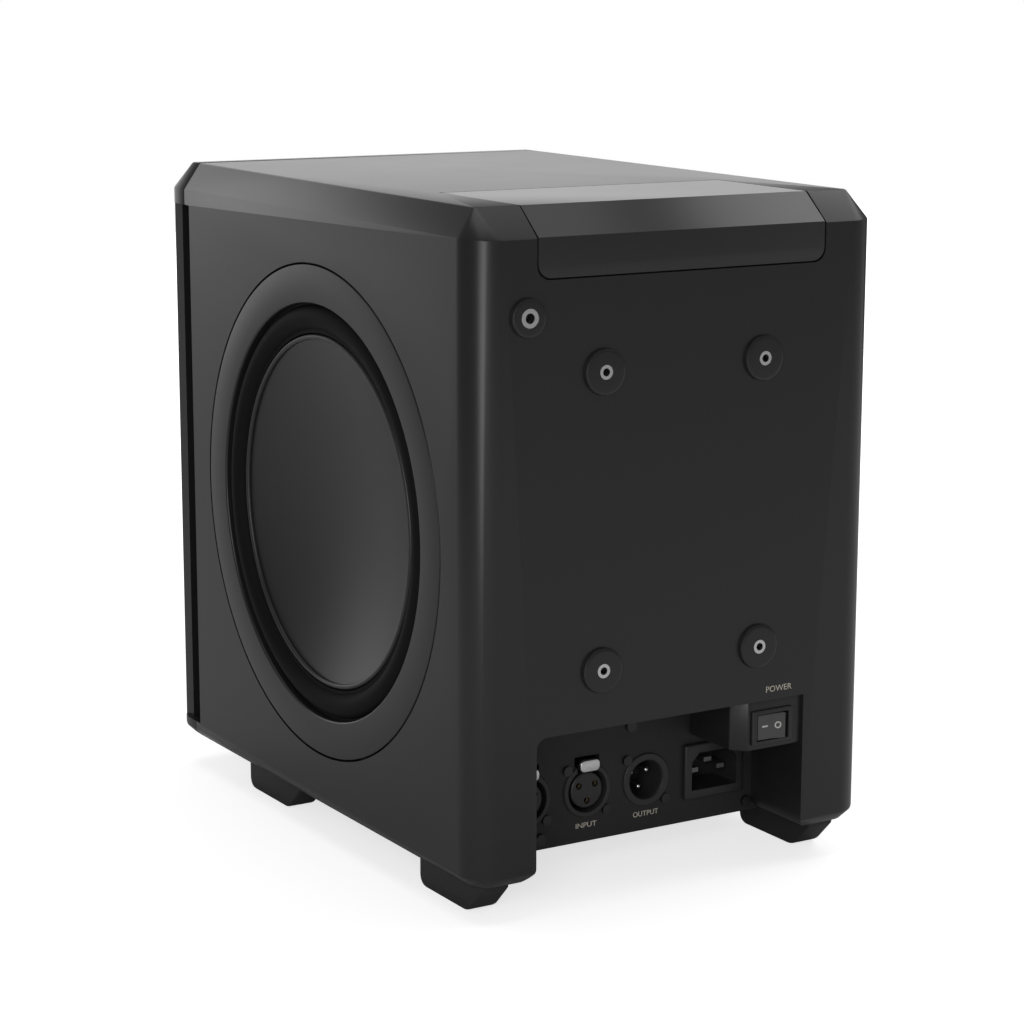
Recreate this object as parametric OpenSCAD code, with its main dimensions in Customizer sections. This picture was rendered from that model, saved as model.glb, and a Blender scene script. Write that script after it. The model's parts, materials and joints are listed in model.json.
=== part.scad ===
// Compact active subwoofer: a bevelled cabinet with two opposed woofers, a connector bay and
// an access hatch at the rear, a front cover over side slots, and four rail feet.
// +Z up, front at -Y, rear at +Y, origin on the floor under the middle of the body.

/* [Body] */
// Overall width, side wall to side wall
body_w = 200; // [190:1:260]
// Overall depth, front cover to rear bosses
body_d = 292; // [284:1:360]
// Overall height, floor to top
body_h = 293; // [285:1:360]
// Thickness of the side walls
side_wall = 14; // [13:1:18]
// Thickness of the top, bottom and rear walls
shell_wall = 10; // [8:1:13]
// Radius of the vertical corners
corner_r = 14; // [13:1:20]
// Height of the bevel round the top
bevel_h = 11.6; // [8:0.2:15]
// Inset of the bevel along the two sides
bevel_side = 8.5; // [7:0.5:15]
// Inset of the bevel at the front and the rear
bevel_in = 14; // [8:0.5:16]
// Bevel round the bottom edge
base_bevel = 5; // [3:0.5:8]
// Length of the round lower front edge, along the floor
toe_l = 24; // [14:1:30]
// Height of the round lower front edge
toe_h = 9; // [6:0.5:12]

/* [Front cover] */
// Depth of the front cover, from seam to front face
cover_d = 22; // [18:0.5:32]
// Thickness of the cover's front panel
cover_front = 7.6; // [5:0.2:9]
// Thickness of the cover's skirts
cover_skirt = 9; // [6:0.5:12]
// Height of the side slots
slot_h = 250; // [180:1:250]
// Reach of the side slots behind the front seam
slot_w = 5; // [4.5:0.5:8]
// Depth of the front panel's edge beside the slots
edge_d = 12.5; // [9:0.5:15]

/* [Woofers] */
// Outer radius of the trim ring
ring_r = 108.6; // [96:0.2:110]
// Width of the trim ring
ring_w = 16.6; // [14:0.2:20]
// Thickness of the trim ring
ring_t = 3.4; // [2.6:0.1:4]
// Seam between the trim ring and the cabinet
ring_gap = 0.9; // [0.4:0.1:1.5]
// Width of the surround's half roll
roll_w = 12.5; // [11:0.5:16]
// How far the cone's rim sits behind the side face
cone_sunk = 4.4; // [3.6:0.1:5.5]
// Depth of the cone's dish
dish_depth = 15; // [8:0.5:18]
// Thickness of the cone
cone_t = 1.6; // [1.2:0.1:2.4]
// Travel of the cone each way
cone_travel = 5; // [2:0.5:6]
// Thickness of the basket's flange
flange_t = 3; // [2.4:0.2:4]
// Radius of the voice coil's former
coil_r = 25.2; // [19:0.2:32]
// Height of the woofers' axis
woofer_z = 150; // [140:1:170]
// Place of the woofers' axis along the depth
woofer_y = 7.6; // [0:0.2:10]
// Screws that hold each woofer
woofer_screw_count = 8; // [6:1:10]

/* [Connector bay] */
// Side of the bay nearest the +X wall
bay_left = 70.5; // [60:0.5:74]
// Side of the bay nearest the -X wall
bay_right = 65; // [62:0.5:74]
// Height of the bay's ceiling
bay_top = 77; // [74:0.5:84]
// Depth of the bay from the rear face
bay_d = 37; // [34:0.5:50]
// Thickness of the connector panel
panel_t = 3; // [2:0.5:4]
// Spacing of the three-pole sockets
socket_pitch = 30.5; // [28:0.5:32]
// Place of the output socket across the width
output_x = -8; // [-10:0.5:-4]
// Height of the sockets' axis
socket_z = 38; // [37:0.5:42]
// Place of the mains inlet across the width
inlet_x = -43; // [-46:0.5:-40]
// Width of the box that carries the power switch
switch_box_w = 34; // [30:0.5:36]
// Height of the box that carries the power switch
switch_box_h = 22; // [20:0.5:24]

/* [Hatch] */
// Width of the access hatch
hatch_w = 141; // [110:1:146]
// Reach of the hatch over the top, from the rear face
hatch_top = 78; // [60:1:84]
// Drop of the hatch down the rear, from the top
hatch_drop = 28; // [22:1:34]
// Thickness of the hatch
hatch_t = 3; // [2:0.5:4]
// Seam round the hatch
hatch_gap = 0.6; // [0.4:0.1:1]

/* [Mounting] */
// Hole spacing across the width
mount_x = 79; // [60:1:100]
// Hole spacing up the height
mount_z = 124; // [100:1:130]
// Height of the pattern's centre
mount_mid_z = 164; // [160:1:172]
// Bore radius of the four threaded inserts
mount_r = 1.65; // [1.25:0.05:2.5]
// Bore radius of the safety insert
safety_r = 2.1; // [1.65:0.05:2.5]
// Depth of the inserts
insert_len = 9; // [6:0.5:9.5]

/* [Feet] */
// Height of the feet under the body
foot_h = 15; // [10:0.5:18]
// Length of a foot on the floor
foot_l = 41; // [34:1:56]
// Width of a foot
foot_w = 13; // [11:0.5:20]

/* [Hidden] */
$fn = 48;
eps = 0.01;              // a cut runs this far past a face
run_gap = 0.3;           // soft or moving pieces stay this clear
boss_h = 2;              // the rear bosses stand this proud
SIDES = [1, -1];
half_w = body_w / 2;
front_y = -body_d / 2;
rear_y = body_d / 2 - boss_h;
seam_y = front_y + cover_d;
base_z = foot_h;
bevel_z = body_h - bevel_h;
in_top = body_h - shell_wall;
in_base = base_z + shell_wall;
in_rear = rear_y - shell_wall;
in_side = half_w - side_wall;

// ---------- helpers ----------

// Box from its lowest to its highest corner
module span(lo, hi) {
    translate(lo) cube(hi - lo);
}

// Centred rectangle with round corners
module round_rect(w, d, r) {
    square([w - 2 * r, d], center = true);
    square([w, d - 2 * r], center = true);
    for (sx = SIDES, sy = SIDES)
        translate([sx * (w / 2 - r), sy * (d / 2 - r)]) circle(r);
}

// Puts +Z on the outward normal of a side wall, at the woofer's centre
module at_woofer(side) {
    translate([side * half_w, woofer_y, woofer_z]) rotate([0, side * 90, 0]) children();
}

// Ring or disc given by its radii and the depths of its two faces behind the side wall
module ring(r_in, r_out, near, far) {
    translate([0, 0, -far]) difference() {
        cylinder(h = far - near, r = r_out, $fn = 96);
        if (r_in > 0) translate([0, 0, -1]) cylinder(h = far - near + 2, r = r_in, $fn = 96);
    }
}

// Puts +Z on +Y at a point
module rearward(p) {
    translate(p) rotate([-90, 0, 0]) children();
}

// Cylinder along Y between two depths
module rod_y(x, z, y0, y1, r) {
    rearward([x, y0, z]) cylinder(h = y1 - y0, r = r);
}

// Outline of the body from base to top, of half-width h, with a given inset of the top bevel
module bevel_outline(h, inset) {
    polygon([[-h + base_bevel, base_z], [h - base_bevel, base_z], [h, base_z + base_bevel],
             [h, bevel_z], [h - inset, body_h], [-h + inset, body_h],
             [-h, bevel_z], [-h, base_z + base_bevel]]);
}

// What the round lower front edge takes away, as a section in depth and height
toe_line = [for (a = [180:10:270])
            [front_y + toe_l * (1 + cos(a)), base_z + toe_h * (1 + sin(a))]];

module toe_cut() translate([-half_w - 1, 0, 0]) rotate([90, 0, 90]) linear_extrude(body_w + 2)
    polygon(concat(toe_line, [[front_y + toe_l, base_z - 2], [front_y - 2, base_z - 2],
                              [front_y - 2, base_z + toe_h]]));

// Outside of cabinet and front cover together
module envelope() {
    mid = (front_y + rear_y) / 2;
    depth = rear_y - front_y;
    difference() {
        intersection() {
            translate([0, mid, 0]) linear_extrude(body_h) round_rect(body_w, depth, corner_r);
            translate([0, rear_y + 1, 0]) rotate([90, 0, 0])
                linear_extrude(depth + 2) bevel_outline(half_w, bevel_side);
            translate([-half_w - 1, mid, 0]) rotate([90, 0, 90])
                linear_extrude(body_w + 2) bevel_outline(depth / 2, bevel_in);
        }
        toe_cut();
    }
}

// ---------- cabinet ----------

gasket_t = 1.5;
flange_top = ring_t + 0.2;                   // depth of the flange's face
ledge = flange_top + flange_t + gasket_t;    // depth of the recess for the woofer
recess_r = ring_r + ring_gap;
basket_hole_r = ring_r - 9;
surround_r = ring_r - ring_w;                // inner edge of the trim ring
cone_r = surround_r - roll_w;
bay_y = rear_y - bay_d;                      // rear face of the connector panel
bay_wall = 5;
bay_r = 5;                                   // round upper corner of the bay
leg_r = 7;                                   // round lower corners of the walls beside it
baffle_t = 12;
baffle_y = seam_y + slot_w + 2;              // front face of the baffle
slot_low = woofer_z - 1 - slot_h / 2;        // lower end of the side slots
tray_depth = 26;
tray_rim = 7;                                // ledge under the hatch's edge
tray_wall = 2;
box_face = 1.5;                              // the switch box stops short of the rear face
box_soft = 6;                                // bevel on the switch box's inner edge
switch_x = -49;
switch_z = bay_top - 12;
switch_cut = [19.4, 13.2];
port_z = 232;
port_r = 25;
port_len = 90;
port_wall = 2;
boss_r = 9.6;
safety_boss_r = 8;
safety_pos = [75.5, 250];
insert_r = 3;
safety_insert_r = 3.9;
hatch_round = 6;

// Where the four mounting inserts are: [x, z]
mount_spots = [for (sx = SIDES, sz = SIDES) [sx * mount_x / 2, mount_mid_z + sz * mount_z / 2]];

// Every rear insert: [x, z, boss radius, insert radius, bore radius]
rear_spots = concat([for (p = mount_spots) [p[0], p[1], boss_r, insert_r, mount_r]],
                    [[safety_pos[0], safety_pos[1], safety_boss_r, safety_insert_r, safety_r]]);

// The cabinet is a hollow body with a bay, a hatch opening and two stepped woofer holes
module cabinet() color([0.10, 0.10, 0.11]) difference() {
    union() {
        difference() {
            cabinet_shell();
            hatch_body(hatch_gap);
            bay_cut(rear_y + 1);
        }
        switch_box();
        for (s = rear_spots)
            rod_y(s[0], s[1], rear_y - 1, rear_y + boss_h, s[2]);
    }
    for (side = SIDES) at_woofer(side) {
        ring(0, recess_r, -1, ledge);
        ring(0, basket_hole_r, 0, side_wall + 1);
        at_screws() ring(0, 1.9, 0, ledge + screw_bite);
    }
    tray_opening();
    for (s = rear_spots) rod_y(s[0], s[1], rear_y + boss_h - insert_len, rear_y + boss_h + 1, s[3]);
    switch_pocket();
    for (p = hatch_peg_spots) translate([p[0], p[1], in_top - 1]) cylinder(h = shell_wall, r = 2.6);
    for (p = panel_screw_spots) if (p[1] < in_base)
        rod_y(p[0], p[1], panel_back - 4, panel_back + 1, 1.45);
    for (sx = SIDES, y = foot_screws_y)
        translate([sx * foot_x, y, foot_h - 1]) cylinder(h = foot_bite + 1, r = 1.8);
}

// Body cut off at the front seam, hollowed, with the bay's walls left standing
module cabinet_shell() {
    difference() {
        envelope();
        span([-body_w, front_y - 1, -1], [body_w, seam_y, body_h + 1]);
        span([-body_w, seam_y - 1, slot_low], [body_w, seam_y + slot_w, slot_low + slot_h]);
        difference() {
            span([-in_side, seam_y - 1, in_base], [in_side, in_rear, in_top]);
            span([-bay_right - bay_wall, bay_y, 0], [bay_left + bay_wall, rear_y, bay_top + bay_wall]);
        }
    }
}

// The bay, cut up from the base, open to the rear; the panel closes its inner end
module bay_cut(y_out) {
    reach = y_out - bay_y;
    span([-bay_right, bay_y - 1, base_z - 1], [bay_left, y_out, bay_top - bay_r]);
    span([-bay_right, bay_y - 1, bay_top - bay_r - 1], [bay_left - bay_r, y_out, bay_top]);
    rod_y(bay_left - bay_r, bay_top - bay_r, bay_y - 1, y_out, bay_r);
    // round lower corner on each side of the bay
    rearward([0, bay_y, 0]) linear_extrude(reach) {
        leg_corner(bay_left, 1);
        leg_corner(-bay_right, -1);
    }
    // the floor stops at the panel, which covers its end
    span([-bay_right - bay_wall, bay_y - panel_t, base_z - 1],
         [bay_left + bay_wall, bay_y, in_base]);
}

// What rounds the lower corner of the wall beside the bay, drawn with Z downwards
module leg_corner(x, s) difference() {
    polygon([[x - s, -base_z + 1], [x + s * leg_r, -base_z + 1], [x + s * leg_r, -base_z - leg_r],
             [x - s, -base_z - leg_r]]);
    translate([x + s * leg_r, -base_z - leg_r]) circle(leg_r);
}

// Box at the top corner of the bay that brings the power switch out to the rear face
module switch_box() {
    y1 = rear_y - box_face;
    x1 = -bay_right + switch_box_w;
    rearward([0, bay_y, 0]) linear_extrude(y1 - bay_y - box_soft)
        polygon([[-bay_right - 1, -bay_top - 1], [x1, -bay_top - 1],
                 [x1, -bay_top + switch_box_h], [-bay_right - 1, -bay_top + switch_box_h]]);
    translate([0, 0, bay_top - switch_box_h]) linear_extrude(switch_box_h + 1)
        polygon([[-bay_right - 1, y1 - box_soft - 1], [x1, y1 - box_soft - 1],
                 [x1, y1 - box_soft], [x1 - box_soft, y1], [-bay_right - 1, y1]]);
}

// Pocket for the switch, open to the rear and on into the cabinet
module switch_pocket() {
    span([switch_x - switch_cut[0] / 2, bay_y - 1, switch_z - switch_cut[1] / 2],
         [switch_x + switch_cut[0] / 2, rear_y + 1, switch_z + switch_cut[1] / 2]);
}

// Solid of the hatch, grown by slack round its edge
module hatch_body(slack) {
    half = hatch_w / 2 + slack;
    y0 = rear_y - hatch_top - slack;
    z0 = body_h - hatch_drop - slack;
    t = hatch_t;
    bend = t * 0.45;
    past = slack > 0 ? 2 : 0;                // a cut runs past the outside
    intersection() {
        translate([-half, 0, 0]) rotate([90, 0, 90]) linear_extrude(2 * half)
            polygon([[y0, body_h - t], [rear_y - bevel_in - bend, body_h - t],
                     [rear_y - t, bevel_z - bend], [rear_y - t, z0], [rear_y + past, z0],
                     [rear_y + past, bevel_z],
                     [rear_y + past - (past > 0 ? 0 : bevel_in), body_h + past],
                     [y0, body_h + past]]);
        translate([0, rear_y + 3, 0]) rotate([90, 0, 0]) linear_extrude(hatch_top + 10) {
            r = hatch_round + slack;
            translate([-half, z0 + r]) square([2 * half, hatch_drop + 10]);
            translate([-half + r, z0]) square([2 * half - 2 * r, r + 1]);
            for (s = SIDES) translate([s * (half - r), z0 + r]) circle(r);
        }
    }
}

// Opening in the top for the tray, with a ledge left all round under the hatch
module tray_opening() {
    span([-hatch_w / 2 + tray_rim, rear_y - hatch_top + tray_rim, in_top - 1],
         [hatch_w / 2 - tray_rim, in_rear - tray_rim, body_h + 1]);
}

hatch_peg_spots = [for (s = SIDES) [s * (hatch_w / 2 - 3.6), rear_y - hatch_top / 2]];

// Lift-off cover that runs over the top edge
module access_hatch() color([0.12, 0.12, 0.13]) union() {
    hatch_body(0);
    for (p = hatch_peg_spots)
        translate([p[0], p[1], body_h - hatch_t - 5]) cylinder(h = 6, r = 1.6);
}

// Grip sleeves in the ledge that the hatch's pegs push into
module hatch_pegs() color([0.3, 0.3, 0.31])
    for (p = hatch_peg_spots) translate([p[0], p[1], in_top]) difference() {
        cylinder(h = shell_wall - hatch_t - 0.1, r = 2.6);
        translate([0, 0, -1]) cylinder(h = shell_wall, r = 1.6 + 0.05);
    }

// Tray under the hatch, hung from the underside of the top wall
module tray_shape(grow, floor_z) {
    span([-hatch_w / 2 + tray_rim - grow, rear_y - hatch_top + tray_rim - grow, floor_z],
         [hatch_w / 2 - tray_rim + grow, in_rear - tray_rim + grow, in_top]);
}

module hatch_tray() color([0.13, 0.13, 0.14]) difference() {
    union() {
        tray_shape(tray_wall, body_h - tray_depth);
        tray_shape(tray_rim - 1, in_top - 2);
    }
    translate([0, 0, 1]) tray_shape(0, body_h - tray_depth + tray_wall - 1);
}

// Upright panel between the motors that ties top and rear wall together
module cabinet_brace() color([0.45, 0.36, 0.25]) {
    y0 = -8;
    y1 = in_rear;
    z0 = 96;
    difference() {
        span([-6, y0, z0], [6, y1, in_top]);
        span([-7, rear_y - hatch_top, body_h - tray_depth - 2], [7, y1 + 1, in_top + 1]);
        for (p = [[38, 140], [94, 140], [38, 205], [94, 205]])
            translate([0, p[0], p[1]]) rotate([0, 90, 0]) cylinder(h = 30, r = 22, center = true);
    }
}

// Inner front wall, with the port's hole
module front_baffle() color([0.09, 0.09, 0.10]) difference() {
    span([-in_side, baffle_y, in_base], [in_side, baffle_y + baffle_t, in_top]);
    rod_y(0, port_z, baffle_y - 1, baffle_y + baffle_t + 1, port_r + port_wall);
}

// Straight reflex port that feeds the space behind the front cover
module port_tube() color([0.08, 0.08, 0.09]) difference() {
    union() {
        rod_y(0, port_z, baffle_y, baffle_y + port_len, port_r + port_wall);
        rod_y(0, port_z, baffle_y - 2, baffle_y, port_r + port_wall + 5);
    }
    rod_y(0, port_z, baffle_y - 3, baffle_y + port_len + 1, port_r);
}

// Front panel with skirts at top and bottom; each slot runs from its edge to the cabinet's side
module front_cover() color([0.10, 0.10, 0.11]) difference() {
    envelope();
    span([-body_w, seam_y, -1], [body_w, rear_y + 1, body_h + 1]);
    span([-body_w, front_y + edge_d, slot_low], [body_w, seam_y + 1, slot_low + slot_h]);
    // beside the slots, the panel's edge stands a little in
    translate([0, 0, slot_low]) linear_extrude(slot_h) for (s = SIDES)
        polygon([[s * (half_w + 1), front_y - 1], [s * (half_w - 2.2), front_y - 1],
                 [s * (half_w - 2.2), front_y + 5], [s * (half_w - 3.4), front_y + edge_d + 1],
                 [s * (half_w + 1), front_y + edge_d + 1]]);
    span([-half_w + cover_skirt, front_y + cover_front, base_z + cover_skirt],
         [half_w - cover_skirt, seam_y + 1, body_h - cover_skirt - bevel_h / 2]);
}

// Posts between the front cover and the baffle
module cover_pegs() color([0.12, 0.12, 0.13])
    for (sx = SIDES, z = [woofer_z - 105, woofer_z + 105])
        rod_y(sx * (in_side - 24), z, front_y + cover_front, baffle_y, 5);

// ---------- woofers, drawn about their own axis ----------

flange_r = ring_r - 0.6;
landing_w = 5;                             // flat outer lip of the surround
seat_r = 56;                               // small end of the basket
spider_depth = 36;
plate_depth = 47;
plate_t = 6;
magnet_t = 14;
magnet_r = 52;
yoke_t = 6;
gap_w = 2.2;                               // magnetic gap
former_t = 0.6;
winding_t = 0.5;
pole_r = coil_r - 0.7;
basket_t = 2.6;

module trim_ring() difference() {
    ring(surround_r, ring_r, 0, ring_t);
    // softened inner edge
    translate([0, 0, -1]) cylinder(h = 1 + eps, r1 = surround_r, r2 = surround_r + 1, $fn = 96);
}

module trim_ring_right() color([0.14, 0.14, 0.15]) at_woofer(1) trim_ring();
module trim_ring_left() color([0.14, 0.14, 0.15]) at_woofer(-1) trim_ring();

// Cast frame: flange, six-armed cone and the seat for the motor
module basket() difference() {
    rotate_extrude($fn = 96) basket_section();
    for (k = [0:5]) rotate([0, 0, 60 * k + 30])
        translate([seat_r - 2, -17, -spider_depth + 4]) cube([60, 34, 20]);
    at_screws() ring(0, 2.2, 0, ledge + 1);
    at_screws() ring(0, 3.6, 0, flange_top + 1.6);
}

woofer_screw_r = ring_r - 4.6;
screw_bite = 5;                            // how far the screws enter the wall

// One copy at each screw of a woofer
module at_screws()
    for (k = [0:woofer_screw_count - 1])
        rotate([0, 0, 360 * (k + 0.5) / woofer_screw_count])
            translate([woofer_screw_r, 0, 0]) children();

module basket_section() {
    throat = surround_r - landing_w + 2;
    bottom = -flange_top - flange_t;
    polygon([[throat + 1, -flange_top - 1], [surround_r + 4, -flange_top - 1],
             [surround_r + 4, -flange_top], [flange_r, -flange_top], [flange_r, bottom],
             [throat + 4, bottom], [seat_r + basket_t, -spider_depth],
             [seat_r + basket_t, -plate_depth], [coil_r + 12, -plate_depth],
             [coil_r + 12, -plate_depth + 3], [seat_r, -plate_depth + 3],
             [seat_r, -spider_depth - 1], [seat_r - 5, -spider_depth - 1],
             [seat_r - 5, -spider_depth], [seat_r, -spider_depth], [throat + 1, bottom]]);
}

module basket_right() color([0.2, 0.2, 0.21]) at_woofer(1) basket();
module basket_left() color([0.2, 0.2, 0.21]) at_woofer(-1) basket();

module gasket() difference() {
    ring(basket_hole_r, flange_r, flange_top + flange_t, ledge);
    at_screws() ring(0, 2.2, 0, ledge + 1);
}

module gasket_right() color([0.25, 0.25, 0.25]) at_woofer(1) gasket();
module gasket_left() color([0.25, 0.25, 0.25]) at_woofer(-1) gasket();

// Low roll with a flat lip on each side
module surround() {
    mid = (surround_r + cone_r) / 2;
    half = roll_w / 2 - 0.8;
    foot = -flange_top - 0.9;
    rise = flange_top + 0.4;
    arc_r = (half * half + rise * rise) / (2 * rise);
    rotate_extrude($fn = 96) union() {
        difference() {
            translate([mid, foot + rise - arc_r]) circle(arc_r, $fn = 72);
            translate([mid, foot + rise - arc_r]) circle(arc_r - 0.9, $fn = 72);
            translate([mid - 20, foot - 40]) square([40, 40]);
        }
        translate([mid + half - 1, foot]) square([surround_r + landing_w - 1 - mid - half, 0.7]);
        translate([cone_r - 1, foot]) square([mid - half + 2 - cone_r, 0.7]);
    }
}

module surround_right() color([0.05, 0.05, 0.05]) at_woofer(1) surround();
module surround_left() color([0.05, 0.05, 0.05]) at_woofer(-1) surround();

// Shallow spherical dish with a rounded lip
dish_r = cone_r - 1 - run_gap;
ball_r = (dish_r * dish_r + dish_depth * dish_depth) / (2 * dish_depth);
lip_r = 1.2;

module cone() rotate_extrude($fn = 96) union() {
    intersection() {
        translate([0, -cone_sunk - dish_depth - cone_t - 1])
            square([dish_r - lip_r, dish_depth + cone_t + 1]);
        difference() {
            translate([0, ball_r - cone_sunk - dish_depth]) circle(ball_r + cone_t, $fn = 360);
            translate([0, ball_r - cone_sunk - dish_depth]) circle(ball_r, $fn = 360);
        }
    }
    translate([dish_r - lip_r, -cone_sunk]) circle(lip_r, $fn = 24);
}

module cone_right() color([0.16, 0.16, 0.17]) at_woofer(1) cone();
module cone_left() color([0.16, 0.16, 0.17]) at_woofer(-1) cone();

// Former and winding; the former's front end meets the back of the dish
coil_front = cone_sunk + dish_depth - ball_r + sqrt(pow(ball_r + cone_t, 2) - coil_r * coil_r)
    + 0.02;
coil_back = plate_depth + plate_t + 3;

module voice_coil() union() {
    ring(coil_r, coil_r + former_t, coil_front, coil_back);
    ring(coil_r + former_t - 0.1, coil_r + former_t + winding_t, plate_depth - 4, coil_back);
}

module voice_coil_right() color([0.72, 0.45, 0.25]) at_woofer(1) voice_coil();
module voice_coil_left() color([0.72, 0.45, 0.25]) at_woofer(-1) voice_coil();

// Corrugated disc that centres the coil
module spider() rotate_extrude($fn = 96) union() {
    r0 = coil_r + former_t + run_gap;
    r1 = seat_r - run_gap;
    n = 4;
    step = (r1 - r0) / n;
    for (k = [0:n - 1]) polygon([
        [r0 + k * step, -spider_depth + 0.4], [r0 + (k + 0.5) * step, -spider_depth + 2],
        [r0 + (k + 1) * step, -spider_depth + 0.4], [r0 + (k + 1) * step, -spider_depth + 1.2],
        [r0 + (k + 0.5) * step, -spider_depth + 2.8], [r0 + k * step, -spider_depth + 1.2]]);
}

module spider_right() color([0.75, 0.6, 0.3]) at_woofer(1) spider();
module spider_left() color([0.75, 0.6, 0.3]) at_woofer(-1) spider();

module top_plate() ring(coil_r + gap_w, magnet_r - 2, plate_depth, plate_depth + plate_t);
module top_plate_right() color([0.6, 0.6, 0.62]) at_woofer(1) top_plate();
module top_plate_left() color([0.6, 0.6, 0.62]) at_woofer(-1) top_plate();

magnet_near = plate_depth + plate_t;
module magnet() ring(coil_r + 7, magnet_r, magnet_near, magnet_near + magnet_t);
module magnet_right() color([0.22, 0.22, 0.23]) at_woofer(1) magnet();
module magnet_left() color([0.22, 0.22, 0.23]) at_woofer(-1) magnet();

module pole_piece() union() {
    ring(0, magnet_r - 3, magnet_near + magnet_t, magnet_near + magnet_t + yoke_t);
    ring(0, pole_r, plate_depth - 1, magnet_near + magnet_t + 1);
}

module pole_piece_right() color([0.6, 0.6, 0.62]) at_woofer(1) pole_piece();
module pole_piece_left() color([0.6, 0.6, 0.62]) at_woofer(-1) pole_piece();

// Screws through both flanges into the side walls
module woofer_screws() color([0.1, 0.1, 0.1])
    for (side = SIDES) at_woofer(side) at_screws() {
        ring(0, 3.4, flange_top + 0.1, flange_top + 1.6);
        ring(0, 1.9, flange_top + 1, ledge + screw_bite);
    }

// ---------- connector bay ----------

panel_back = bay_y - panel_t;
body_depth = 22;                           // sockets reach this far behind the panel
shell_r = 12;                              // raised ring of a socket
plug_r = 9.6;                              // what a plug's shell needs
core_r = 7.9;
pin_ring = 4.7;
pin_angles = [30, 150, 270];
inputs_x = [output_x + 2 * socket_pitch, output_x + socket_pitch];
sockets_x = concat(inputs_x, [output_x]);
tab_size = [10, 5.4];
tab_z = socket_z + 11.6;
tab_travel = 2;
flange_half = 12;                          // mounting flange behind the panel
screw_off = 10;
inlet_frame = [31, 25];
inlet_core = [24, 17];
panel_screw_spots = [[0, bay_top - 13.5], [56, bay_top - 13.5], [-62, base_z + 4.5],
                     [46, base_z + 4.5]];
socket_screw_spots = [for (x = sockets_x, s = SIDES)
                      [x + s * screw_off, socket_z + s * screw_off]];

// Clearance for a latch, from the socket's flange to in front of the panel
module latch_slot(x)
    span([x - tab_size[0] / 2 - 1.3, panel_back - 3, tab_z - tab_size[1] / 2 - 0.4],
         [x + tab_size[0] / 2 + 1.3, bay_y + 2, tab_z + tab_size[1] / 2 + 1]);

// Metal plate across the bay's inner end, cut for each connector
module connector_panel() color([0.09, 0.09, 0.10]) difference() {
    span([-bay_right - bay_wall, panel_back, base_z], [bay_left + bay_wall, bay_y, bay_top + bay_wall]);
    for (x = sockets_x) rod_y(x, socket_z, panel_back - 1, bay_y + 1, shell_r - 1);
    for (x = inputs_x)
        latch_slot(x);
    span([inlet_x - inlet_frame[0] / 2 + 2, panel_back - 1, socket_z - inlet_frame[1] / 2 + 2],
         [inlet_x + inlet_frame[0] / 2 - 2, bay_y + 1, socket_z + inlet_frame[1] / 2 - 2]);
    for (p = concat(panel_screw_spots, socket_screw_spots))
        rod_y(p[0], p[1], panel_back - 1, bay_y + 1, 1.5);
    span([switch_x - switch_cut[0] / 2, panel_back - 1, switch_z - switch_cut[1] / 2],
         [switch_x + switch_cut[0] / 2, bay_y + 1, switch_z + switch_cut[1] / 2]);
}

module panel_screws() color([0.2, 0.2, 0.2])
    for (p = panel_screw_spots) {
        rod_y(p[0], p[1], bay_y, bay_y + 1.2, 2.6);
        rod_y(p[0], p[1], panel_back - 4, bay_y + 0.5, 1.45);
    }

module socket_screws() color([0.2, 0.2, 0.2])
    for (p = socket_screw_spots) {
        rod_y(p[0], p[1], bay_y, bay_y + 1.2, 2.2);
        rod_y(p[0], p[1], panel_back - 2, bay_y + 0.5, 1.45);
    }

// Socket shell: ring on the panel, flange and barrel behind it, open to the rear
module socket_shell(x, bore, depth) difference() {
    union() {
        rod_y(x, socket_z, bay_y, bay_y + 1, shell_r);
        rod_y(x, socket_z, panel_back - body_depth, bay_y, shell_r - 1);
        span([x - flange_half, panel_back - 2, socket_z - flange_half],
             [x + flange_half, panel_back, socket_z + flange_half]);
    }
    rod_y(x, socket_z, bay_y - depth, bay_y + 2, bore);
    for (s = SIDES)
        rod_y(x + s * screw_off, socket_z + s * screw_off, panel_back - 3, panel_back + 1, 1.5);
}

// Input socket: groove round a solid core with three contact holes
module input_socket(x) union() {
    difference() {
        socket_shell(x, plug_r, 18);
        // room for the latch, then the slot where its hook drops in
        latch_slot(x);
        span([x - 4.6, bay_y - 14, socket_z + plug_r - 1], [x + 4.6, bay_y, socket_z + shell_r + 1]);
    }
    difference() {
        rod_y(x, socket_z, bay_y - 18 - eps, bay_y + 0.2, core_r);
        for (a = pin_angles)
            rod_y(x + pin_ring * cos(a), socket_z + pin_ring * sin(a), bay_y - 12, bay_y + 1, 1.75);
    }
}

module input_socket_a() color([0.12, 0.12, 0.13]) input_socket(inputs_x[0]);
module input_socket_b() color([0.12, 0.12, 0.13]) input_socket(inputs_x[1]);
module output_socket() color([0.10, 0.10, 0.11]) difference() {
    socket_shell(output_x, 8.3, 18);
    for (a = pin_angles)
        rod_y(output_x + pin_ring * cos(a), socket_z + pin_ring * sin(a), bay_y - 30, bay_y, 1.2);
}

// Tubular contacts at the bottom of each input's holes
module input_contacts() color([0.8, 0.65, 0.3])
    for (x = inputs_x, a = pin_angles)
        translate([x + pin_ring * cos(a), 0, socket_z + pin_ring * sin(a)]) difference() {
            rod_y(0, 0, bay_y - 12, bay_y - 2, 1.75);
            rod_y(0, 0, bay_y - 11, bay_y - 1, 1.25);
        }

module output_pins() color([0.8, 0.8, 0.82])
    for (a = pin_angles)
        translate([output_x + pin_ring * cos(a), 0, socket_z + pin_ring * sin(a)]) {
            rod_y(0, 0, panel_back - body_depth - 3, bay_y - 6, 1.2);
            translate([0, bay_y - 6, 0]) sphere(1.2);
        }

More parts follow.
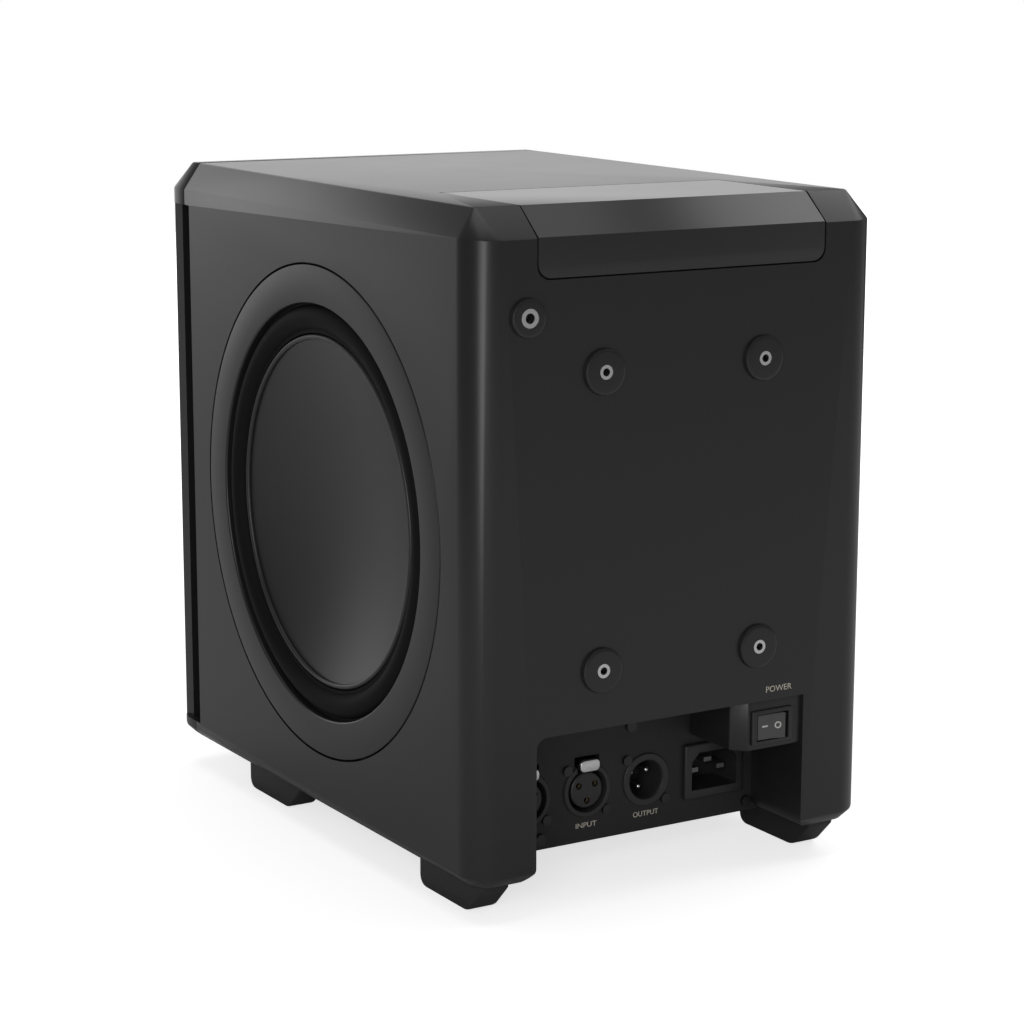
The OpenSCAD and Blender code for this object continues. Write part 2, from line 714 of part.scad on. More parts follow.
// Push tab of an input: a pad in front and a tongue that runs in behind the panel
module latch(x) union() {
    span([x - tab_size[0] / 2, bay_y + 0.6, tab_z - tab_size[1] / 2],
         [x + tab_size[0] / 2, bay_y + 3, tab_z + tab_size[1] / 2]);
    span([x - tab_size[0] / 2 + 0.8, panel_back - 7, socket_z + plug_r + 0.4],
         [x + tab_size[0] / 2 - 0.8, bay_y + 0.6 + eps, socket_z + plug_r + 1.6]);
}

module latch_a() color([0.86, 0.86, 0.86]) latch(inputs_x[0]);
module latch_b() color([0.86, 0.86, 0.86]) latch(inputs_x[1]);

// Outline of the inlet's core: rectangle with the two upper corners cut
module inlet_outline(w, h, cut) polygon([[-w / 2, -h / 2], [w / 2, -h / 2], [w / 2, h / 2 - cut],
    [w / 2 - cut, h / 2], [-w / 2 + cut, h / 2], [-w / 2, h / 2 - cut]]);

module mains_inlet() color([0.10, 0.10, 0.11]) translate([inlet_x, 0, socket_z]) {
    difference() {
        union() {
            span([-inlet_frame[0] / 2, bay_y, -inlet_frame[1] / 2],
                 [inlet_frame[0] / 2, bay_y + 2.4, inlet_frame[1] / 2]);
            span([-inlet_frame[0] / 2 + 2.2, panel_back - 20, -inlet_frame[1] / 2 + 2.2],
                 [inlet_frame[0] / 2 - 2.2, bay_y, inlet_frame[1] / 2 - 2.2]);
        }
        translate([0, bay_y + 3, 0]) rotate([90, 0, 0]) linear_extrude(19)
            inlet_outline(inlet_core[0], inlet_core[1], 4);
        for (p = inlet_pin_spots) span([p[0] - 2, panel_back - 21, p[1] - 1], [p[0] + 2, bay_y, p[1] + 1]);
    }
}

inlet_pin_spots = [[0, 3], [7, -1], [-7, -1]];

module inlet_pins() color([0.75, 0.75, 0.77])
    for (p = inlet_pin_spots)
        span([inlet_x + p[0] - 2, panel_back - 24, socket_z + p[1] - 1],
             [inlet_x + p[0] + 2, bay_y - 3, socket_z + p[1] + 1]);

// ---------- power switch ----------

bezel = [21.5, 15.2];
rocker_size = [13.6, 11.2];
switch_y = rear_y - box_face;              // face that the bezel bears on
rocker_tilt = -7;
pivot_r = 1.5;
pivot_y = switch_y - 5.5;

module switch_body() color([0.10, 0.10, 0.11]) difference() {
    union() {
        span([switch_x - bezel[0] / 2, switch_y, switch_z - bezel[1] / 2],
             [switch_x + bezel[0] / 2, switch_y + 1.4, switch_z + bezel[1] / 2]);
        span([switch_x - switch_cut[0] / 2 + 0.1, switch_y - 20, switch_z - switch_cut[1] / 2 + 0.1],
             [switch_x + switch_cut[0] / 2 - 0.1, switch_y, switch_z + switch_cut[1] / 2 - 0.1]);
    }
    span([switch_x - rocker_size[0] / 2 - 1.6, switch_y - 12, switch_z - rocker_size[1] / 2 - 0.4],
         [switch_x + rocker_size[0] / 2 + 1.6, switch_y + 2, switch_z + rocker_size[1] / 2 + 0.4]);
    translate([switch_x, pivot_y, switch_z])
        cylinder(h = switch_cut[1] + 2, r = pivot_r + 0.05, center = true);
}

// Rocker about a vertical pivot: two flats that meet in a shallow valley, pressed to one side
module power_rocker() color([0.3, 0.3, 0.31]) {
    half = rocker_size[0] / 2;
    translate([switch_x, pivot_y, switch_z]) rotate([0, 0, rocker_tilt]) union() {
        translate([0, 0, -rocker_size[1] / 2]) linear_extrude(rocker_size[1])
            polygon([[-half, 0], [half, 0], [half, 7.5], [0, 6.7], [-half, 7.5]]);
        cylinder(h = switch_cut[1] - 0.4, r = pivot_r, center = true);
    }
}

// ---------- inserts, feet ----------

module insert(spot, r) difference() {
    rod_y(spot[0], spot[1], rear_y + boss_h - insert_len, rear_y + boss_h, r);
    rod_y(spot[0], spot[1], rear_y + boss_h - insert_len - 1, rear_y + boss_h + 1, spot[4]);
}

module mounting_inserts() color([0.75, 0.72, 0.68])
    for (s = rear_spots) if (s[2] == boss_r) insert(s, insert_r);
module safety_insert() color([0.8, 0.8, 0.8]) insert(rear_spots[4], safety_insert_r);

foot_x = half_w - 9.5 - foot_w / 2;
foot_rear_y = rear_y - 63;
foot_front_y = front_y + 61.5;
foot_bite = 6;                             // how far the foot screws enter the floor
foot_screws_y = [for (y = [foot_rear_y, foot_front_y], d = [9, foot_l - 8]) y + d];
foot_chamfer = 1.5;

// Rail foot with an upright front end and a sloped rear end, from y to y + foot_l
module foot(sx, y) color([0.06, 0.06, 0.06]) difference() {
    intersection() {
        translate([sx * foot_x - foot_w / 2, y, 0]) rotate([90, 0, 90]) linear_extrude(foot_w)
            polygon([[0, 5], [0.4, 3], [1.5, 1.5], [3, 0.4], [5, 0], [foot_l - 2, 0], [foot_l + 1, 0.8],
                     [foot_l + 4, 2.8], [foot_l + foot_h - 3, foot_h - 3], [foot_l + foot_h - 3, foot_h], [0, foot_h]]);
        translate([sx * foot_x, y - 1, 0]) rotate([90, 0, 180]) linear_extrude(foot_l + foot_h)
            polygon([[-foot_w / 2, foot_h], [-foot_w / 2, foot_chamfer],
                     [-foot_w / 2 + foot_chamfer, 0], [foot_w / 2 - foot_chamfer, 0],
                     [foot_w / 2, foot_chamfer], [foot_w / 2, foot_h]]);
    }
    for (p = foot_screws_y) {
        translate([sx * foot_x, p, -1]) cylinder(h = foot_h + 2, r = 1.8);
        translate([sx * foot_x, p, -1]) cylinder(h = foot_h - 4, r = 3.6);
    }
}

module foot_rear_right() foot(1, foot_rear_y);
module foot_rear_left() foot(-1, foot_rear_y);
module foot_front_right() foot(1, foot_front_y);
module foot_front_left() foot(-1, foot_front_y);

// Two screws a foot, heads sunk in the foot, shanks up to the cabinet's underside
module foot_screws() color([0.5, 0.5, 0.52])
    for (sx = SIDES, p = foot_screws_y)
        translate([sx * foot_x, p, foot_h]) {
            translate([0, 0, -7.5]) cylinder(h = 2.5, r = 3.3);
            translate([0, 0, -5.5]) cylinder(h = 5.5 + foot_bite, r = 1.8);
        }

// ---------- electronics ----------

board_w = 92;
board_t = 1.6;
amp_z = in_base + 12;
psu_z = amp_z + 27;
board_y = [-66, 66];
post_xy = [for (sx = SIDES, y = [board_y[0] + 8, board_y[1] - 8]) [sx * (board_w / 2 - 5), y]];

// Floor plate with cheeks that reach the panel, and a strip behind the panel's upper screws
module module_bracket() color([0.55, 0.56, 0.58]) {
    half = 66.5;
    union() {
        span([-half - 1, board_y[0] - 4, in_base], [half + 1, panel_back - 2.2, in_base + 2]);
        for (s = SIDES)
            span([s * half - 1, panel_back - 34, in_base], [s * half + 1, panel_back, bay_top - 6]);
        difference() {
            span([-half, panel_back - 2.5, bay_top - 18], [half, panel_back, bay_top - 6]);
            for (p = panel_screw_spots) if (p[1] > socket_z)
                rod_y(p[0], p[1], panel_back - 4, panel_back + 1, 1.45);
            span([switch_x - 11, panel_back - 4, switch_z - 8], [switch_x + 11, panel_back + 1, bay_top]);
        }
    }
}

module board(z, holes_y) difference() {
    span([-board_w / 2, board_y[0], z], [board_w / 2, board_y[1], z + board_t]);
    for (p = post_xy) translate([p[0], p[1], z - 1]) cylinder(h = board_t + 2, r = 1.6);
}

module amplifier_board() color([0.05, 0.25, 0.12]) board(amp_z);
module power_supply_board() color([0.05, 0.22, 0.12]) board(psu_z);

// Posts under each board and the studs that pass through it
module board_standoffs() color([0.8, 0.7, 0.4])
    for (p = post_xy) translate([p[0], p[1], 0]) {
        translate([0, 0, in_base + 2]) cylinder(h = amp_z - in_base - 2, r = 3);
        translate([0, 0, amp_z - 1]) cylinder(h = board_t + 2, r = 1.6);
        translate([0, 0, amp_z + board_t]) cylinder(h = psu_z - amp_z - board_t, r = 3);
        translate([0, 0, psu_z - 1]) cylinder(h = board_t + 3, r = 1.6);
    }

// Finned heat sink that stands on the amplifier board
module heat_sink() color([0.15, 0.15, 0.16]) union() {
    z = amp_z + board_t;
    span([-30, -44, z], [30, 4, z + 4]);
    for (k = [0:7]) span([-30 + 8.2 * k, -44, z + 3], [-27.4 + 8.2 * k, 4, z + 22]);
}

module transformer() color([0.55, 0.45, 0.2]) translate([14, 30, psu_z + board_t]) union() {
    difference() {
        span([-16, -13, 0], [16, 13, 18]);
        span([-11, -14, 4], [11, 14, 14]);
    }
    span([-11, -16, 4], [11, 16, 14]);
}

// Capacitors on the supply board, coils on the amplifier board
module board_parts() color([0.12, 0.12, 0.2]) {
    for (p = [[-32, 44], [-32, 20], [-10, 44]])
        translate([p[0], p[1], psu_z + board_t]) cylinder(h = 17, r = 8);
    for (p = [[-26, 40], [0, 40], [26, 40]])
        translate([p[0], p[1], amp_z + board_t]) cylinder(h = 12, r = 9);
    span([-40, -50, psu_z + board_t], [-14, -26, psu_z + board_t + 12]);
}

// Wadding behind the baffle, above the port
module damping_pad() color([0.75, 0.75, 0.72])
    span([-in_side + 3, baffle_y + baffle_t + run_gap, 100],
         [-port_r - port_wall - 12, baffle_y + baffle_t + 14, in_top - 4]);

cabinet();
cabinet_brace();
front_baffle();
front_cover();
cover_pegs();
port_tube();
access_hatch();
hatch_tray();
hatch_pegs();
trim_ring_right();
trim_ring_left();
basket_right();
basket_left();
gasket_right();
gasket_left();
surround_right();
surround_left();
cone_right();
cone_left();
voice_coil_right();
voice_coil_left();
spider_right();
spider_left();
top_plate_right();
top_plate_left();
magnet_right();
magnet_left();
pole_piece_right();
pole_piece_left();
woofer_screws();
connector_panel();
panel_screws();
input_socket_a();
input_socket_b();
output_socket();
input_contacts();
output_pins();
latch_a();
latch_b();
socket_screws();
mains_inlet();
inlet_pins();
switch_body();
power_rocker();
mounting_inserts();
safety_insert();
foot_rear_right();
foot_rear_left();
foot_front_right();
foot_front_left();
foot_screws();
module_bracket();
amplifier_board();
power_supply_board();
heat_sink();
transformer();
board_parts();
board_standoffs();
damping_pad();
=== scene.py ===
# %% [markdown]
# # A compact subwoofer, finished in Blender
# The measured construction comes in as a frame of separate nodes. Over it, the pieces that the eye meets are
# modelled again with soft edges and fine facets, and every node gets a material. Lengths are in millimetres
# and become metres with MM; +Z is up, the front looks along -Y, the connectors are at +Y.

# %% Load the frame
import math
import bpy
from mathutils import Matrix, Vector
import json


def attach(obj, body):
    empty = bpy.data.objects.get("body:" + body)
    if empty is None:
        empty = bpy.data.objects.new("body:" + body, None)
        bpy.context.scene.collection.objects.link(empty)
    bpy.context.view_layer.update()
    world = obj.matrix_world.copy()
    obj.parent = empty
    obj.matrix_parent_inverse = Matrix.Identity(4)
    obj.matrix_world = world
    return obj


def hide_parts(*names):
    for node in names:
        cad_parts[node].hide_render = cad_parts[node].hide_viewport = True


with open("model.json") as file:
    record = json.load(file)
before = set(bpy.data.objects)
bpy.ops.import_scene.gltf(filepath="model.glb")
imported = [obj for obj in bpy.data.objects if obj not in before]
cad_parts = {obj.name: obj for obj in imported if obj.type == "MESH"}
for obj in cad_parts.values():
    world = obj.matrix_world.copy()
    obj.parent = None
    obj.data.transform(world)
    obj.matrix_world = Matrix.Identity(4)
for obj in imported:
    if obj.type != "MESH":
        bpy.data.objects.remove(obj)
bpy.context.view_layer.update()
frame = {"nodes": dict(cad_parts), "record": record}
MM = 0.001
SIDES = (1, -1)

# %% [markdown]
# ## Tools of the workshop
# Each operator works on what is selected, so every step starts by selecting one object alone. Faces and edges
# are then picked by their place, which is what a modeller does with the mouse. The helpers below do only that.

# %% Selecting
def alone(obj):
    """Leave only obj selected, in object mode."""
    if bpy.context.object and bpy.context.object.mode != "OBJECT":
        bpy.ops.object.mode_set(mode="OBJECT")
    bpy.ops.object.select_all(action="DESELECT")
    if obj:
        obj.select_set(True)
        bpy.context.view_layer.objects.active = obj
    return obj


def pick(obj, kind, test):
    """Enter edit mode with the vertices, edges or faces for which test(place in mm, direction) holds."""
    alone(obj)
    bpy.ops.object.mode_set(mode="EDIT")
    bpy.ops.mesh.select_mode(type=kind)
    bpy.ops.mesh.select_all(action="DESELECT")
    bpy.ops.object.mode_set(mode="OBJECT")
    mesh = obj.data
    if kind == "FACE":
        for f in mesh.polygons:
            f.select = bool(test(f.center / MM, f.normal))
    elif kind == "EDGE":
        for e in mesh.edges:
            a, b = (mesh.vertices[i].co for i in e.vertices)
            e.select = bool(test((a + b) / 2 / MM, (b - a).normalized()))
    else:
        for v in mesh.vertices:
            v.select = bool(test(v.co / MM, None))
    bpy.ops.object.mode_set(mode="EDIT")


def leave():
    bpy.ops.object.mode_set(mode="OBJECT")


def everything(obj):
    pick(obj, "VERT", lambda p, d: True)


# %% Starting shapes
def block(name, low, high):
    """A cube primitive between two corners."""
    alone(None)
    low, high = Vector(low) * MM, Vector(high) * MM
    bpy.ops.mesh.primitive_cube_add(size=1, location=(low + high) / 2, scale=high - low)
    bpy.ops.object.transform_apply(location=True, rotation=True, scale=True)
    obj = bpy.context.object
    obj.name = name
    return obj


def rod(name, centre, radius, length, axis="Y", sides=64):
    """A cylinder primitive about its centre, along an axis."""
    alone(None)
    turn = {"X": (0, math.pi / 2, 0), "Y": (math.pi / 2, 0, 0), "Z": (0, 0, 0)}[axis]
    bpy.ops.mesh.primitive_cylinder_add(vertices=sides, radius=radius * MM, depth=length * MM,
                                        location=Vector(centre) * MM, rotation=turn)
    bpy.ops.object.transform_apply(location=True, rotation=True, scale=True)
    obj = bpy.context.object
    obj.name = name
    return obj


def outline(name, points, closed=True):
    """A line drawn point by point: one vertex, extruded from place to place, closed and filled if asked."""
    alone(None)
    points = [Vector(p) * MM for p in points]
    bpy.ops.mesh.primitive_plane_add(size=MM, location=points[0])
    bpy.ops.object.transform_apply(location=True, rotation=True, scale=True)
    obj = bpy.context.object
    obj.name = name
    everything(obj)
    bpy.ops.mesh.merge(type="CENTER")
    for a, b in zip(points, points[1:] + points[:1] if closed else points[1:]):
        bpy.ops.mesh.extrude_region_move(TRANSFORM_OT_translate={"value": b - a})
    if closed:
        bpy.ops.mesh.select_all(action="SELECT")
        bpy.ops.mesh.remove_doubles(threshold=1e-6)
        bpy.ops.mesh.edge_face_add()
    leave()
    return obj


def prism(name, points, push):
    """A filled outline pushed along a vector."""
    obj = outline(name, points)
    everything(obj)
    bpy.ops.mesh.extrude_region_move(TRANSFORM_OT_translate={"value": Vector(push) * MM})
    outward(obj)
    return obj


def outward(obj, doubles=1e-6):
    """Merge doubles and point every face outwards."""
    everything(obj)
    bpy.ops.mesh.remove_doubles(threshold=doubles)
    bpy.ops.mesh.normals_make_consistent(inside=False)
    leave()


# %% Turning, cutting and softening
def turned(name, profile, centre, axis, steps=128):
    """A profile of (radius, height along the axis) spun round an axis through centre."""
    axis, centre = Vector(axis), Vector(centre)
    out = Vector((0, 0, 1))
    line = [centre + out * r + axis * h for r, h in profile]
    obj = outline(name, line, closed=False)
    everything(obj)
    bpy.ops.mesh.spin(steps=steps, angle=math.tau, center=centre * MM, axis=axis)
    outward(obj, 1e-6)
    return obj


def apply(obj, kind, **settings):
    """Add one modifier with its settings and apply it."""
    alone(obj)
    m = obj.modifiers.new(kind.lower(), kind)
    for key, value in settings.items():
        setattr(m, key, value)
    bpy.ops.object.modifier_apply(modifier=m.name)
    return obj


def combine(obj, tools, operation="DIFFERENCE"):
    """Cut the tools from obj, or weld them to it, and throw them away."""
    for tool in tools:
        apply(obj, "BOOLEAN", operation=operation, object=tool, solver="EXACT")
        bpy.data.objects.remove(tool)
    return obj


def soften(obj, width, segments=2, angle=35):
    """Round the sharp edges a little, so that they catch the light."""
    apply(obj, "BEVEL", width=width * MM, segments=segments, limit_method="ANGLE",
          angle_limit=math.radians(angle), harden_normals=False)
    return obj


def smooth(obj, angle=32):
    alone(obj)
    bpy.ops.object.shade_smooth_by_angle(angle=math.radians(angle))
    return obj


def join(name, parts):
    alone(parts[0])
    for p in parts:
        p.select_set(True)
    bpy.ops.object.join()
    parts[0].name = name
    return parts[0]


print("tools ready")

# %% [markdown]
# ## Materials
# The whole object is dark, so its looks rest on how each surface spreads light: satin paint, moulded plastic,
# rubber, powder coat. One node group gives every finish its fine grain, its soft unevenness of tone and its
# changing roughness. Each material then has its own numbers, and its shader stays in the material itself.

# %% The shared finish group
def add_node(tree, kind, place, **inputs):
    node = tree.nodes.new(kind)
    node.location = place
    for key, value in inputs.items():
        node.inputs[key].default_value = value
    return node


def math_node(tree, operation, place, a, b):
    node = tree.nodes.new("ShaderNodeMath")
    node.operation = operation
    node.location = place
    for slot, value in zip(node.inputs, (a, b)):
        if isinstance(value, (int, float)):
            slot.default_value = value
        else:
            tree.links.new(value, slot)
    return node.outputs[0]


def new_group(name, inputs, outputs):
    tree = bpy.data.node_groups.new(name, "ShaderNodeTree")
    for label, kind, value in inputs:
        s = tree.interface.new_socket(label, in_out="INPUT", socket_type=kind)
        s.default_value = value
    for label, kind in outputs:
        tree.interface.new_socket(label, in_out="OUTPUT", socket_type=kind)
    return tree, tree.nodes.new("NodeGroupInput"), tree.nodes.new("NodeGroupOutput")


def make_finish():
    tree, inp, out = new_group("finish", [
        ("Light", "NodeSocketColor", (0.1, 0.1, 0.1, 1)), ("Dark", "NodeSocketColor", (0.05, 0.05, 0.05, 1)),
        ("Roughness", "NodeSocketFloat", 0.5), ("Spread", "NodeSocketFloat", 0.1),
        ("Grain", "NodeSocketFloat", 2000.0), ("Cloud", "NodeSocketFloat", 12.0),
        ("Stretch", "NodeSocketVector", (1, 1, 1))],
        [("Color", "NodeSocketColor"), ("Roughness", "NodeSocketFloat"), ("Height", "NodeSocketFloat")])
    where = add_node(tree, "ShaderNodeTexCoord", (-900, 0))
    shape = tree.nodes.new("ShaderNodeVectorMath")
    shape.operation = "MULTIPLY"
    tree.links.new(where.outputs["Object"], shape.inputs[0])
    tree.links.new(inp.outputs["Stretch"], shape.inputs[1])
    grain = add_node(tree, "ShaderNodeTexNoise", (-500, 200), Detail=3.0, Roughness=0.6)
    cloud = add_node(tree, "ShaderNodeTexNoise", (-500, -200), Detail=4.0, Roughness=0.55)
    for noise, scale in ((grain, "Grain"), (cloud, "Cloud")):
        tree.links.new(shape.outputs[0], noise.inputs["Vector"])
        tree.links.new(inp.outputs[scale], noise.inputs["Scale"])
    blend = math_node(tree, "MULTIPLY_ADD", (-200, 0), grain.outputs["Fac"], 0.35)
    tree.links.new(math_node(tree, "MULTIPLY", (-350, -100), cloud.outputs["Fac"], 0.65),
                   blend.node.inputs[2])
    mix = tree.nodes.new("ShaderNodeMix")
    mix.data_type = "RGBA"
    tree.links.new(blend, mix.inputs["Factor"])
    tree.links.new(inp.outputs["Dark"], mix.inputs["A"])
    tree.links.new(inp.outputs["Light"], mix.inputs["B"])
    tree.links.new(mix.outputs["Result"], out.inputs["Color"])
    swing = math_node(tree, "MULTIPLY", (0, -300), math_node(
        tree, "SUBTRACT", (-150, -300), blend, 0.5), inp.outputs["Spread"])
    tree.links.new(math_node(tree, "ADD", (150, -300), swing, inp.outputs["Roughness"]),
                   out.inputs["Roughness"])
    tree.links.new(grain.outputs["Fac"], out.inputs["Height"])
    return tree


FINISH = make_finish()


# %% A material from its numbers
def material(name, light, dark=None, rough=0.5, spread=0.2, grain=1500, cloud=10, stretch=(1, 1, 1),
             bump=0.05, deep=0.05, metal=0.0, coat=0.0, sheen=0.0, specular=0.5):
    m = bpy.data.materials.new(name)
    m.use_nodes = True
    tree = m.node_tree
    shader = tree.nodes["Principled BSDF"]
    shader.inputs["Metallic"].default_value = metal
    shader.inputs["Coat Weight"].default_value = coat
    shader.inputs["Coat Roughness"].default_value = 0.25
    shader.inputs["Sheen Weight"].default_value = sheen
    shader.inputs["Specular IOR Level"].default_value = specular
    finish = tree.nodes.new("ShaderNodeGroup")
    finish.node_tree = FINISH
    finish.location = (-400, 0)
    dark = dark or [c * 0.8 for c in light]
    for key, value in (("Light", (*light, 1)), ("Dark", (*dark, 1)), ("Roughness", rough),
                       ("Spread", spread), ("Grain", grain), ("Cloud", cloud), ("Stretch", stretch)):
        finish.inputs[key].default_value = value
    relief = add_node(tree, "ShaderNodeBump", (-200, -300), Strength=bump, Distance=deep * MM)
    tree.links.new(finish.outputs["Color"], shader.inputs["Base Color"])
    tree.links.new(finish.outputs["Roughness"], shader.inputs["Roughness"])
    tree.links.new(finish.outputs["Height"], relief.inputs["Height"])
    tree.links.new(relief.outputs["Normal"], shader.inputs["Normal"])
    return m


def grey(v, warm=0.0):
    return (v * (1 + warm), v, v * (1 - warm))


LOOK = {
    "cabinet_paint": material("cabinet_paint", grey(0.017), grey(0.014), 0.33, 0.10, 1300, 9, bump=0.25),
    "hatch_paint": material("hatch_paint", grey(0.024), grey(0.020), 0.30, 0.10, 1300, 9, bump=0.25),
    "ring_paint": material("ring_paint", grey(0.017), grey(0.014), 0.33, 0.10, 1300, 9, bump=0.2),
    "cone_metal": material("cone_metal", grey(0.024), grey(0.019), 0.40, 0.10, 1500, 14, bump=0.1),
    "rubber_part": material("rubber_part", grey(0.024), grey(0.018), 0.6, 0.15, 900, 20, bump=0.2),
    "surround_rubber": material("surround_rubber", grey(0.008), grey(0.006), 0.7, 0.15, 900, 20, bump=0.2,
                                specular=0.12),
    "blade_metal": material("blade_metal", grey(0.30), grey(0.22), 0.45, 0.15, 900, 80, metal=1.0),
    "black_plastic": material("black_plastic", grey(0.020), grey(0.015), 0.5, 0.15, 2200, 30, bump=0.2),
    "socket_plastic": material("socket_plastic", grey(0.026), grey(0.020), 0.42, 0.12, 2200, 60, bump=0.12),
    "rocker_plastic": material("rocker_plastic", grey(0.085), grey(0.070), 0.45, 0.12, 2600, 60, bump=0.15),
    "panel_paint": material("panel_paint", grey(0.018), grey(0.013), 0.6, 0.12, 1800, 30, bump=0.35),
    "bright_metal": material("bright_metal", grey(0.80), grey(0.66), 0.28, 0.18, 900, 80, metal=1.0),
    "black_steel": material("black_steel", grey(0.07), grey(0.05), 0.38, 0.15, 1600, 120, metal=1.0),
    "steel_part": material("steel_part", grey(0.56), grey(0.42), 0.35, 0.2, 500, 40, (1, 1, 12), metal=1.0),
    "sheet_metal": material("sheet_metal", grey(0.62), grey(0.5), 0.38, 0.3, 300, 25, metal=1.0),
    "basket_metal": material("basket_metal", grey(0.05), grey(0.035), 0.55, 0.2, 900, 30, bump=0.4),
    "brass_part": material("brass_part", (0.75, 0.6, 0.3), (0.6, 0.46, 0.2), 0.3, 0.2, 900, 80, metal=1.0),
    "copper": material("copper", (0.72, 0.36, 0.18), (0.55, 0.25, 0.12), 0.3, 0.2, 600, 40, (9, 1, 1),
                       metal=1.0, bump=0.5, deep=0.2),
    "ferrite": material("ferrite", grey(0.07), grey(0.05), 0.6, 0.2, 900, 40, bump=0.3),
    "foam_gasket": material("foam_gasket", grey(0.06), grey(0.04), 0.9, 0.1, 700, 40, bump=0.6, deep=0.3),
    "spider_cloth": material("spider_cloth", (0.6, 0.45, 0.2), (0.42, 0.3, 0.12), 0.85, 0.1, 900, 30,
                             bump=0.7, deep=0.2, sheen=0.3),
    "circuit_board": material("circuit_board", (0.02, 0.17, 0.07), (0.015, 0.11, 0.05), 0.35, 0.2, 400, 60),
    "heat_sink_metal": material("heat_sink_metal", grey(0.05), grey(0.035), 0.4, 0.2, 700, 30, (1, 9, 1),
                                metal=0.6),
    "bare_board": material("bare_board", (0.46, 0.34, 0.21), (0.36, 0.25, 0.14), 0.8, 0.1, 500, 25,
                           bump=0.5, deep=0.2),
    "wadding": material("wadding", grey(0.75, 0.03), grey(0.6, 0.03), 0.95, 0.05, 250, 30, bump=0.9,
                        deep=1.5, sheen=0.4),
}
print("materials:", len(LOOK))


# %% [markdown]
# ## Handing a piece over
# A finished piece takes its material, rides on the body that carries it, and hides the nodes of the frame
# that it stands for.

# %% Finish a piece
def finish(obj, look, body="enclosure", nodes=(), angle=32, slot=None):
    smooth(obj, angle)
    obj.data.materials.clear()
    obj.data.materials.append(LOOK[look])
    if nodes:
        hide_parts(*nodes)
    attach(obj, body)
    print(obj.name, len(obj.data.polygons), "faces")
    return obj


# %% [markdown]
# ## The body's outer form
# The real cabinet is a box with rounded upright corners. Its top is bevelled so that the bevel runs to a sharp
# corner on top and opens like part of a cone onto the round corner below. A loft gives just that: a stack of
# rounded rectangles, each with its own inset and corner radius, bridged one to the next. Close pairs of them
# at the bevel's edges round those edges a little.

# %% Loft the body
HALF_W, FRONT, REAR, SEAM = 100.0, -146.0, 144.0, -124.0
BASE, TOP, BEVEL_Z, CORNER = 15.0, 293.0, 281.4, 14.0
BEVEL_X, BEVEL_Y, TOE_L, TOE_H = 8.5, 14.0, 24.0, 9.0


def loop(z, inset_x, inset_y, radius, segments=12):
    """A rounded rectangle as a plane with its four corners bevelled, its face deleted."""
    alone(None)
    size = Vector((2 * (HALF_W - inset_x), REAR - FRONT - 2 * inset_y, 1)) * MM
    bpy.ops.mesh.primitive_plane_add(size=1, location=Vector((0, (FRONT + REAR) / 2, z)) * MM)
    bpy.context.object.scale = size
    bpy.ops.object.transform_apply(location=True, rotation=True, scale=True)
    obj = bpy.context.object
    everything(obj)
    bpy.ops.mesh.bevel(offset=radius * MM, segments=segments, affect="VERTICES", clamp_overlap=False)
    bpy.ops.mesh.select_all(action="SELECT")
    bpy.ops.mesh.delete(type="ONLY_FACE")
    leave()
    return obj


def loft_body():
    soft = 0.5
    rings = [(BASE, 5.5, 5.5, 8.5), (BASE + soft * 0.7, 5 - soft * 0.7, 5 - soft * 0.7, 9.2),
             (BASE + 5 - soft, 0.35, 0.35, 13.7), (BASE + 5 + soft, 0, 0, CORNER),
             (BEVEL_Z - soft, 0, 0, CORNER), (BEVEL_Z + soft * 0.4, 0.4, 0.6, 13.2),
             (TOP - soft * 0.7, BEVEL_X - soft * 0.7, BEVEL_Y - soft, 1.0),
             (TOP, BEVEL_X + soft * 0.5, BEVEL_Y + soft * 0.7, 0.6)]
    body = join("body_form", [loop(*r) for r in rings])
    for lower, upper in zip(rings, rings[1:]):
        pick(body, "EDGE", lambda p, d: abs(d.z) < 0.01 and min(abs(p.z - lower[0]), abs(p.z - upper[0])) < 0.01)
        bpy.ops.mesh.bridge_edge_loops()
    for z in (BASE, TOP):
        pick(body, "EDGE", lambda p, d: abs(p.z - z) < 0.01)
        bpy.ops.mesh.edge_face_add()
    outward(body)
    return body


body_form = loft_body()
curve = [(FRONT + TOE_L * (1 + math.cos(math.radians(a))), BASE + TOE_H * (1 + math.sin(math.radians(a))))
         for a in range(180, 271, 5)]
curve += [(FRONT + TOE_L, BASE - 3), (FRONT - 3, BASE - 3), (FRONT - 3, BASE + TOE_H)]
combine(body_form, [prism("toe", [(-130, y, z) for y, z in curve], (260, 0, 0))])
print("body form:", len(body_form.data.polygons), "faces")


# %% Part the body at its front seam
def part_at_seam(form, name, keep_rear):
    half = form.copy()
    half.data = form.data.copy()
    half.name = name
    bpy.context.scene.collection.objects.link(half)
    everything(half)
    bpy.ops.mesh.bisect(plane_co=(0, SEAM * MM, 0), plane_no=(0, 1, 0), use_fill=True,
                        clear_inner=keep_rear, clear_outer=not keep_rear)
    pick(half, "EDGE", lambda p, d: abs(p.y - SEAM) < 0.01 and abs(d.y) < 0.5)
    bpy.ops.mesh.bevel(offset=0.35 * MM, segments=2, affect="EDGES")
    outward(half)
    return half


cabinet = part_at_seam(body_form, "cabinet_body", True)
cover = part_at_seam(body_form, "front_cover_piece", False)
bpy.data.objects.remove(body_form)

# %% [markdown]
# ## The cabinet
# The cabinet is hollow, with a stepped round seat for a woofer in each side, a shallow seat for the hatch over
# the rear edge, and a bay at the rear for the connectors. All of these are cut with simple blocks, rods and
# prisms, which keeps every face where the construction has it.

